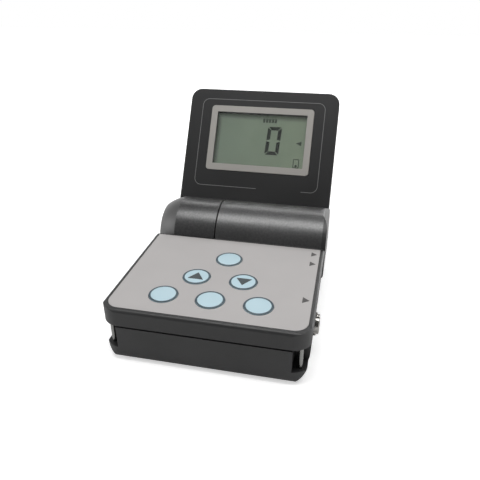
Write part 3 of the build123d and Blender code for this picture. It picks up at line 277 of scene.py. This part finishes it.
def dress(material, *names):
    """The CAD pieces of these names get this material."""
    for name in names:
        slots = frame["nodes"][name].data.materials
        slots.clear()
        slots.append(material)


charcoal = plastic("charcoal_case", srgb(36, 36, 37), srgb(44, 44, 44), 0.40, 0.50, 0.00035, 0.000035,
                   edge_color=srgb(58, 58, 58), barrel_gloss=True, Specular_IOR_Level=0.55,
                   Coat_Roughness=0.33, Coat_IOR=1.78)
dress(charcoal, "lower_case", "upper_case", "battery_cover")


# Feet and screws: four soft rubber discs pressed into round seats in the bottom. Each hides a steel
# screw that pulls the two halves together. The other screws and the spindle's open ring match them.
foot_rubber = plastic("foot_rubber", srgb(30, 30, 30), srgb(40, 40, 39), 0.75, 0.9, 0.0008, 0.00006)
dress(foot_rubber, "rubber_feet")


def metal(name, color, rough_low, rough_high, line_size, depth, axis="X", **plain):
    """Bare or plated metal with the fine lines that turning or pressing leaves along one axis."""
    made, tree, shader = surface(name, color, rough_high, Metallic=1.0, **plain)
    texture = use(tree, moulded, {"Grain Size": line_size * 8})
    place = node(tree, "TexCoord").outputs["Object"]
    lines = node(tree, "TexWave", {"Vector": place, "Scale": 0.3 / line_size, "Distortion": 1.5,
                                   "Detail": 2.0}, bands_direction=axis)
    gloss = node(tree, "MapRange", {"Value": texture["Touch"], "From Min": 0.3, "From Max": 0.7,
                                    "To Min": rough_low, "To Max": rough_high})
    bump = node(tree, "Bump", {"Height": lines.outputs["Fac"], "Strength": 0.3, "Distance": depth})
    dull = [part * 0.8 for part in color[:3]] + [1.0]
    tone = node(tree, "Mix", {0: texture["Shade"], 6: dull, 7: color}, data_type="RGBA").outputs[2]
    tree.links.new(tone, shader.inputs["Base Color"])
    tree.links.new(gloss.outputs[0], shader.inputs["Roughness"])
    tree.links.new(bump.outputs[0], shader.inputs["Normal"])
    return made


screw_steel = metal("screw_steel", srgb(170, 170, 168), 0.28, 0.42, 0.0002, 0.00001, axis="Z")
dress(screw_steel, "case_screws", "board_screws", "display_screws", "hinge_screws", "hinge_clip")


# Battery: a nine-volt block in a printed metal jacket, dark with a broad copper-coloured band
# at the end of its terminals, clipped to a snap connector.
jacket, tree, shader = surface("battery_jacket", srgb(40, 42, 46), 0.3, Metallic=0.6)
along = node(tree, "SeparateXYZ", {0: node(tree, "TexCoord").outputs["Object"]}).outputs["X"]
battery_low, battery_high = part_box("battery")
band_share = 0.30
band_edge = battery_low.x + band_share * (battery_high.x - battery_low.x)
on_band = node(tree, "Math", {0: along, 1: band_edge}, operation="LESS_THAN")
texture = use(tree, moulded, {"Grain Size": 0.0006})
body_tone = node(tree, "Mix", {0: texture["Shade"], 6: srgb(34, 36, 40), 7: srgb(52, 54, 58)},
                 data_type="RGBA")
band_tone = node(tree, "Mix", {0: on_band.outputs[0], 6: body_tone.outputs[2], 7: srgb(176, 118, 72)},
                 data_type="RGBA")
bump = node(tree, "Bump", {"Height": texture["Height"], "Strength": 0.2, "Distance": 0.00001})
tree.links.new(band_tone.outputs[2], shader.inputs["Base Color"])
tree.links.new(bump.outputs[0], shader.inputs["Normal"])
dress(jacket, "battery")
black_moulding = plastic("black_moulding", srgb(24, 24, 25), srgb(34, 34, 35), 0.35, 0.5, 0.0003, 0.00002)
dress(black_moulding, "battery_snap")


# Main board and what it carries: green glass-fibre board under the deck, with etched tracks,
# moulded chips and six sprung steel domes that the keys press. The display's board is made alike.
board_green, tree, shader = surface("board_green", srgb(30, 92, 52), 0.3, Coat_Weight=0.4,
                                    Coat_Roughness=0.15)
place = node(tree, "TexCoord").outputs["Object"]
track_pitch = 0.00127
tracks = node(tree, "TexBrick", {"Vector": place, "Scale": 1.0, "Mortar Size": track_pitch / 4,
                                 "Mortar Smooth": 0.1, "Brick Width": track_pitch * 9,
                                 "Row Height": track_pitch})
routes = node(tree, "TexNoise", {"Vector": place, "Scale": 120.0, "Detail": 1.0})
routed = node(tree, "Math", {0: routes.outputs[0], 1: 0.5}, operation="GREATER_THAN")
track = node(tree, "Math", {0: tracks.outputs["Fac"], 1: routed.outputs[0]}, operation="MULTIPLY")
laminate = use(tree, moulded, {"Grain Size": 0.0005})
resist = node(tree, "Mix", {0: laminate["Shade"], 6: srgb(22, 74, 42), 7: srgb(34, 100, 58)},
              data_type="RGBA")
tone = node(tree, "Mix", {0: track.outputs[0], 6: resist.outputs[2], 7: srgb(52, 128, 72)},
            data_type="RGBA")
bump = node(tree, "Bump", {"Height": track.outputs[0], "Strength": 0.6, "Distance": 0.00004})
tree.links.new(tone.outputs[2], shader.inputs["Base Color"])
tree.links.new(bump.outputs[0], shader.inputs["Normal"])
dress(board_green, "main_board", "display_board")
chip_epoxy = plastic("chip_epoxy", srgb(26, 26, 28), srgb(36, 36, 38), 0.55, 0.7, 0.0002, 0.00002)
dress(chip_epoxy, "board_chips")
dome_steel = metal("dome_steel", srgb(186, 184, 178), 0.2, 0.32, 0.00025, 0.000008, axis="Y")
dress(dome_steel, "snap_domes", "hinge_washer")


# Sockets: a bright plated bayonet jack for the probe at the right front, and two moulded jacks
# behind round holes further back, one for a temperature probe and one for a mains adaptor.
bright_plate = metal("bright_plate", srgb(176, 174, 170), 0.14, 0.24, 0.0003, 0.000006)
dress(bright_plate, "bnc_shell", "bnc_nut", "power_pin")
insulator = plastic("jack_insulator", srgb(226, 222, 210), srgb(238, 236, 228), 0.3, 0.45, 0.0005, 0.00001)
dress(insulator, "bnc_insulator")
contact = metal("gilt_contact", srgb(226, 188, 108), 0.12, 0.22, 0.0002, 0.000006)
dress(contact, "bnc_contact")
dress(black_moulding, "temp_jack", "power_jack")


# Strap posts: bright steel bars that stand in the open corners at the front, for a neck strap.
post_steel = metal("post_steel", srgb(144, 144, 142), 0.14, 0.26, 0.0004, 0.00001, axis="Z")
dress(post_steel, "strap_posts")


# Key panel: a light grey textured film set into the deck, printed from behind. At its right edge
# three dark arrows point at the sockets.
film_grey = plastic("film_grey", srgb(171, 168, 167), srgb(181, 178, 177), 0.46, 0.56, 0.00025, 0.00001)
dress(film_grey, "keypad_overlay")
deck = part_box("keypad_overlay")[1].z
print_thickness = 0.00003


def ink(name, color, **plain):
    """Screen ink: nearly one tone, with the slight unevenness of a printed layer."""
    low = [part * 0.86 for part in color[:3]] + [1.0]
    return plastic(name, low, color, 0.4, 0.5, 0.00012, 0.000005, **plain)


def on_deck(u, v):
    """A point of the key panel: across, and away from the user."""
    return Vector((u, v, deck))


def filled(form, outline, lay):
    """A printed area: the outline, shrunk in steps to its middle, laid on a surface."""
    count = len(outline)
    mid_u, mid_v = sum(u for u, v in outline) / count, sum(v for u, v in outline) / count
    loops = []
    for share in (1.0, 0.8, 0.6, 0.4, 0.2):
        shrunk = [(mid_u + share * (u - mid_u), mid_v + share * (v - mid_v)) for u, v in outline]
        loops.append([form.verts.new(lay(u, v)) for u, v in shrunk])
    centre = form.verts.new(lay(mid_u, mid_v))
    for i in range(count):
        j = (i + 1) % count
        for outer, inner in zip(loops, loops[1:]):
            form.faces.new((outer[i], outer[j], inner[j], inner[i]))
        form.faces.new((loops[-1][i], loops[-1][j], centre))


def divided(outline, step=0.0005):
    """The same closed outline with more points, about a step apart, so that it follows a curved face."""
    points = []
    for (u, v), (end_u, end_v) in zip(outline, outline[1:] + outline[:1]):
        count = max(1, int(((end_u - u) ** 2 + (end_v - v) ** 2) ** 0.5 / step))
        points += [(u + (end_u - u) * i / count, v + (end_v - v) * i / count) for i in range(count)]
    return points


def band(form, outer, inner, lay, closed=True):
    """A printed line between two outlines with as many points each."""
    sides = [[form.verts.new(lay(u, v)) for u, v in side] for side in (outer, inner)]
    for i in range(len(outer) if closed else len(outer) - 1):
        j = (i + 1) % len(outer)
        form.faces.new((sides[0][i], sides[0][j], sides[1][j], sides[1][i]))


def printed(name, form, material, body):
    """A print given the thickness of its ink, riding on what it is printed on."""
    made = mesh_piece(name, form, material)
    thick = made.modifiers.new("ink", "SOLIDIFY")
    thick.thickness = print_thickness
    thick.offset = 1.0
    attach(made, body)
    return made


def softened(corners, radius, steps=4):
    """A closed outline, anticlockwise, with its corners rounded."""
    points = []
    count = len(corners)
    for i in range(count):
        here = Vector(corners[i])
        before = (Vector(corners[i - 1]) - here).normalized()
        after = (Vector(corners[(i + 1) % count]) - here).normalized()
        half = before.angle(after) / 2
        reach = radius * cos(half) / sin(half)
        start, end = here + before * reach, here + after * reach
        for step in range(steps + 1):
            t = step / steps
            points.append(tuple(start * (1 - t) ** 2 + here * 2 * t * (1 - t) + end * t ** 2))
    return points


arrow_ink = ink("arrow_ink", srgb(74, 71, 71))
arrow_tip_x = 0.0459
arrow_corner = 0.00015
form = bmesh.new()
for y, length, half in ((0.0112, 0.0032, 0.0024), (0.0009, 0.0032, 0.0024), (-0.0333, 0.0034, 0.0025)):
    corners = [(arrow_tip_x - length, y - half), (arrow_tip_x, y), (arrow_tip_x - length, y + half)]
    filled(form, softened(corners, arrow_corner), on_deck)
arrows = printed("socket_arrows", form, arrow_ink, "base")


# Keys: six pale blue domed discs. A slate ring is printed round the rim of each, and the middle
# pair has an up and a down triangle. The other keys stay bare.
key_blue = plastic("key_blue", srgb(175, 201, 211), srgb(185, 211, 220), 0.34, 0.44, 0.0003, 0.00001)
ring_ink = ink("ring_ink", srgb(62, 80, 90))
triangle_ink = ink("triangle_ink", srgb(60, 70, 74))
ring_width = 0.0010
ring_points = 72
triangle_half = 0.0041
triangle_height = 0.0062
triangle_rise = 0.0004
triangle_corner = 0.0002
key_names = ["key_top", "key_up", "key_down", "key_left", "key_middle", "key_right"]
dress(key_blue, *key_names)
for name in key_names:
    low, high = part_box(name)
    centre = (low + high) / 2
    key_radius = (high.x - low.x) / 2
    crown = high.z - deck

    def on_key(u, v):
        """A point of this key's domed face: across and away from its middle."""
        drop = crown / 2 * (u * u + v * v) / key_radius ** 2
        return Vector((centre.x + u, centre.y + v, high.z - drop))

    form = bmesh.new()
    turns = [2 * pi * i / ring_points for i in range(ring_points)]
    loops = [[(r * cos(t), r * sin(t)) for t in turns]
             for r in (key_radius, key_radius - ring_width / 2, key_radius - ring_width)]
    for outer, inner in zip(loops, loops[1:]):
        band(form, outer, inner, on_key)
    bmesh.ops.remove_doubles(form, verts=form.verts, dist=1e-6)
    ring = printed(name + "_ring", form, ring_ink, name + "_body")
    if name in ("key_up", "key_down"):
        way = 1 if name == "key_up" else -1
        base, apex = way * (triangle_rise - triangle_height / 2), way * (triangle_rise + triangle_height / 2)
        corners = [(-triangle_half, base), (triangle_half, base), (0, apex)]
        form = bmesh.new()
        outline = softened(corners if way > 0 else corners[::-1], triangle_corner)
        filled(form, divided(outline), on_key)
        triangle = printed(name + "_triangle", form, triangle_ink, name + "_body")


# Hinge: a hollow moulded spindle held to the case by three screws. A steel washer and an open ring
# keep the display on it, and the display's cable goes through it.
spindle_plastic = plastic("spindle_plastic", srgb(206, 202, 190), srgb(220, 217, 206), 0.25, 0.38,
                          0.0006, 0.00001)
dress(spindle_plastic, "hinge_spindle")
cable_sheath = plastic("cable_sheath", srgb(28, 28, 30), srgb(40, 40, 42), 0.5, 0.65, 0.0004, 0.00003)
dress(cable_sheath, "hinge_cable", "display_cable")


# Display housing: a front shell with the left part of the barrel, a rear shell screwed to it and a
# domed cap on the barrel's end. All are moulded: the shells a shade darker than the case, and the
# cap a shade lighter, with a softer sheen.
panel_black = plastic("panel_black", srgb(33, 33, 34), srgb(40, 40, 40), 0.40, 0.50, 0.0003, 0.00003,
                      edge_color=srgb(58, 58, 58), barrel_gloss=True, Specular_IOR_Level=0.35,
                      Coat_Roughness=0.33, Coat_IOR=1.82)
dress(panel_black, "display_front", "display_back")
cap_plastic = plastic("cap_plastic", srgb(44, 44, 44), srgb(52, 52, 52), 0.50, 0.58, 0.00035, 0.000035,
                      edge_color=srgb(66, 66, 66), Specular_IOR_Level=0.6, Coat_Weight=1.0,
                      Coat_Roughness=0.5, Coat_IOR=1.7)
dress(cap_plastic, "hinge_end_cap")
lean = radians(31.8)
up_panel = Vector((0, sin(lean), cos(lean)))
out_of_panel = Vector((0, -cos(lean), sin(lean)))
panel_face = -0.0122


def on_panel(u, v, depth=panel_face):
    """A point of the display: across, up from the hinge axis, and out of the face."""
    return axis_point + Vector((u, 0, 0)) + up_panel * v + out_of_panel * depth


# Printed line: a thin grey rounded rectangle round the window. It stops short at the lower right,
# and that stretch stays bare.
line_ink = ink("line_ink", srgb(112, 112, 112))
line_half, line_low, line_high = 0.04043, 0.03167, 0.08988
line_corner = 0.0045
line_width = 0.00038
line_gap = (0.0011, 0.0300)
corner_steps = 8


def line_points(inset):
    """The open line, from the right end of the gap all the way round to its left end."""
    half, low, high, corner = line_half - inset, line_low + inset, line_high - inset, line_corner - inset
    points = [(line_gap[1], low)]
    for x, y, first in ((half - corner, low + corner, -90), (half - corner, high - corner, 0),
                        (corner - half, high - corner, 90), (corner - half, low + corner, 180)):
        for step in range(corner_steps + 1):
            turn = radians(first + 90 * step / corner_steps)
            points.append((x + corner * cos(turn), y + corner * sin(turn)))
    return points + [(line_gap[0], low)]


form = bmesh.new()
band(form, line_points(0), line_points(line_width), on_panel, closed=False)
panel_line = printed("panel_line", form, line_ink, "display")


# Window: a silver-grey moulded frame, a clear plate and, behind a shadow gap, the liquid crystal
# glass. Its rear side meets two conductive strips.
silver = plastic("silver_frame", srgb(152, 149, 144), srgb(162, 159, 154), 0.40, 0.48, 0.00025, 0.000008,
                 edge_color=srgb(176, 174, 170))
dress(silver, "lcd_frame")
window_low, window_high = 0.0467, 0.0813
window_half = (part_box("window_lens")[1].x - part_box("window_lens")[0].x) / 2


def panel_place(tree):
    """The surface's place on the panel: its height above the hinge axis, and across."""
    place = node(tree, "TexCoord").outputs["Object"]
    from_hinge = node(tree, "VectorMath", {0: place, 1: tuple(axis_point)}, operation="SUBTRACT")
    rise = node(tree, "VectorMath", {0: from_hinge.outputs[0], 1: tuple(up_panel)}, operation="DOT_PRODUCT")
    return rise.outputs["Value"], node(tree, "SeparateXYZ", {0: place}).outputs["X"]


# Painted shade: the frame's narrow sides round the window are painted near-black for the shadow that lies on
# them, so that they throw no light on the glass.
tree = silver.node_tree
shader = tree.nodes["Principled BSDF"]
rise, across = panel_place(tree)
side_margin = 0.0006
turned_away = 0.5
by_height = node(tree, "Math", {0: rise, 1: (window_low + window_high) / 2,
                                2: (window_high - window_low) / 2 + side_margin}, operation="COMPARE")
by_width = node(tree, "Math", {0: across, 1: 0.0, 2: window_half + side_margin}, operation="COMPARE")
facing = node(tree, "VectorMath", {0: node(tree, "TexCoord").outputs["Normal"], 1: tuple(out_of_panel)},
              operation="DOT_PRODUCT")
on_side = node(tree, "Math", {0: facing.outputs["Value"], 1: turned_away}, operation="LESS_THAN")
within = node(tree, "Math", {0: by_height.outputs[0], 1: by_width.outputs[0]}, operation="MULTIPLY")
painted_shade_sides = node(tree, "Math", {0: within.outputs[0], 1: on_side.outputs[0]}, operation="MULTIPLY")
bare = shader.inputs["Base Color"].links[0].from_socket
# The painted shade on the frame's sides round the window.
tone = node(tree, "Mix", {0: painted_shade_sides.outputs[0], 6: bare, 7: srgb(14, 14, 14)}, data_type="RGBA")
tree.links.new(tone.outputs[2], shader.inputs["Base Color"])

clear, tree, shader = surface("clear_window", srgb(250, 252, 250), 0.03, Transmission_Weight=1.0, IOR=1.46)
smudge = use(tree, moulded, {"Patch Size": 0.012})
wiped = node(tree, "MapRange", {"Value": smudge["Touch"], "From Min": 0.4, "From Max": 0.8,
                                "To Min": 0.01, "To Max": 0.06})
tree.links.new(wiped.outputs[0], shader.inputs["Roughness"])
dress(clear, "window_lens")

glass_face = -0.0141
crystal, tree, shader = surface("crystal_glass", srgb(124, 136, 120), 0.4, Specular_IOR_Level=0.05)
rise, across = panel_place(tree)
# Painted shade: the glass is painted a little darker towards the window's left side.
side = node(tree, "MapRange", {"Value": across, "From Min": -window_half, "From Max": window_half})
tone = node(tree, "Mix", {0: side.outputs[0], 6: srgb(119, 132, 120), 7: srgb(131, 142, 122)},
            data_type="RGBA")
film = use(tree, moulded, {"Grain Size": 0.0003, "Patch Size": 0.01})
film_tone = node(tree, "Mix", {0: film["Shade"], 6: tone.outputs[2], 7: srgb(110, 121, 106)},
                 data_type="RGBA")
# A soft dark border at the window's top and left stands for the shadow that the frame throws there.
top_fade, top_past = 0.0045, 0.0003
left_fade, left_past = 0.0034, 0.0008
top_edge = node(tree, "MapRange", {"Value": rise, "From Min": window_high - top_fade,
                                   "From Max": window_high + top_past})
left_edge = node(tree, "MapRange", {"Value": across, "From Min": left_fade - window_half,
                                    "From Max": -left_past - window_half})
border = node(tree, "Math", {0: top_edge.outputs[0], 1: left_edge.outputs[0]}, operation="MAXIMUM")
edged = node(tree, "Mix", {0: border.outputs[0], 6: film_tone.outputs[2], 7: srgb(4, 5, 4)},
             data_type="RGBA")
tree.links.new(edged.outputs[2], shader.inputs["Base Color"])
bump = node(tree, "Bump", {"Height": film["Height"], "Strength": 0.2, "Distance": 0.000005})
tree.links.new(bump.outputs[0], shader.inputs["Normal"])
dress(crystal, "lcd_glass")
strip_rubber = plastic("strip_rubber", srgb(56, 56, 60), srgb(70, 70, 74), 0.6, 0.75, 0.0003, 0.00002)
dress(strip_rubber, "elastomer_strips")


# What the display shows: a slanted seven-segment nought, a bar of five cells over it, a small pointer
# at the right and an upright battery sign. They are dark stretches of the liquid crystal itself.
segment_dark = ink("segment_dark", srgb(18, 24, 20), Specular_IOR_Level=0.05)
segment_faint = ink("segment_faint", srgb(56, 65, 56), Specular_IOR_Level=0.05)


def on_glass(u, v):
    """A point of the liquid crystal glass: across, and up from the hinge axis."""
    return on_panel(u, v, glass_face)


def window_point(share_x, share_down):
    """A place in the window, as shares of its width from the left and of its height from the top."""
    return (2 * share_x - 1) * window_half, window_high - share_down * (window_high - window_low)


digit_left, digit_top = window_point(0.566, 0.230)
digit_right, digit_bottom = window_point(0.721, 0.766)
digit_slant = 0.045
stroke = 0.0023
segment_gap = 0.00022
# The segments' ends are cut off aslant, further where two of them meet at the digit's corners.
corner_cut, middle_cut = stroke * 0.9, stroke * 0.3
outer_share, end_inset = 0.2, stroke * 0.12
digit_width = digit_right - digit_left
digit_height = digit_top - digit_bottom


def slanted(points):
    """Points of the digit, moved from its upright box to its place and slant."""
    return [(digit_left + u + digit_slant * v, digit_bottom + v) for u, v in points]


form = bmesh.new()
half_height = digit_height / 2
for bottom, cut_low, cut_high in ((0.0, corner_cut, middle_cut), (half_height, middle_cut, corner_cut)):
    low, high = bottom + segment_gap, bottom + half_height - segment_gap
    left = [(0.0, low + cut_low * outer_share), (stroke, low + cut_low), (stroke, high - cut_high),
            (0.0, high - cut_high * outer_share)]
    right = [(digit_width - u, v) for u, v in reversed(left)]
    for bar_points in (left, right):
        filled(form, slanted(bar_points), on_glass)
for base, way in ((0.0, 1), (digit_height, -1)):
    start, end = segment_gap, digit_width - segment_gap
    bar_points = [(start + end_inset, base), (end - end_inset, base), (end - stroke, base + way * stroke),
                  (start + stroke, base + way * stroke)]
    filled(form, slanted(bar_points if way > 0 else bar_points[::-1]), on_glass)
nought = printed("lcd_nought", form, segment_dark, "display")

form = bmesh.new()
bar_left, bar_top = window_point(0.514, 0.080)
bar_cells, bar_pitch, bar_height = 5, 0.00192, 0.0027
cell_width, cell_slant = bar_pitch * 0.72, bar_pitch * 0.06
for cell in range(bar_cells):
    u = bar_left + cell * bar_pitch
    filled(form, [(u, bar_top - bar_height), (u + cell_width, bar_top - bar_height),
                  (u + cell_width + cell_slant, bar_top), (u + cell_slant, bar_top)], on_glass)
pointer_tip, pointer_mid = window_point(0.900, 0.52)
pointer_length, pointer_half = 0.0037, 0.0015
filled(form, [(pointer_tip, pointer_mid), (pointer_tip + pointer_length, pointer_mid - pointer_half),
              (pointer_tip + pointer_length, pointer_mid + pointer_half)], on_glass)
sign_left, sign_top = window_point(0.892, 0.815)
sign_right, sign_bottom = window_point(0.958, 0.985)
sign_line = 0.0005
sign_corner = 0.0006
sides = []
for inset, corner in ((0.0, sign_corner), (sign_line, sign_corner / 2)):
    left, right = sign_left + inset, sign_right - inset
    low, high = sign_bottom + inset, sign_top - inset
    sides.append(softened([(left, low), (right, low), (right, high), (left, high)], corner))
band(form, sides[0], sides[1], on_glass)
dot_u, dot_v = (sign_left + sign_right) / 2, sign_bottom + 0.0014
dot_radius, dot_points = 0.0008, 12
turns = [2 * pi * i / dot_points for i in range(dot_points)]
filled(form, [(dot_u + dot_radius * cos(t), dot_v + dot_radius * sin(t)) for t in turns], on_glass)
signs = printed("lcd_signs", form, segment_faint, "display")
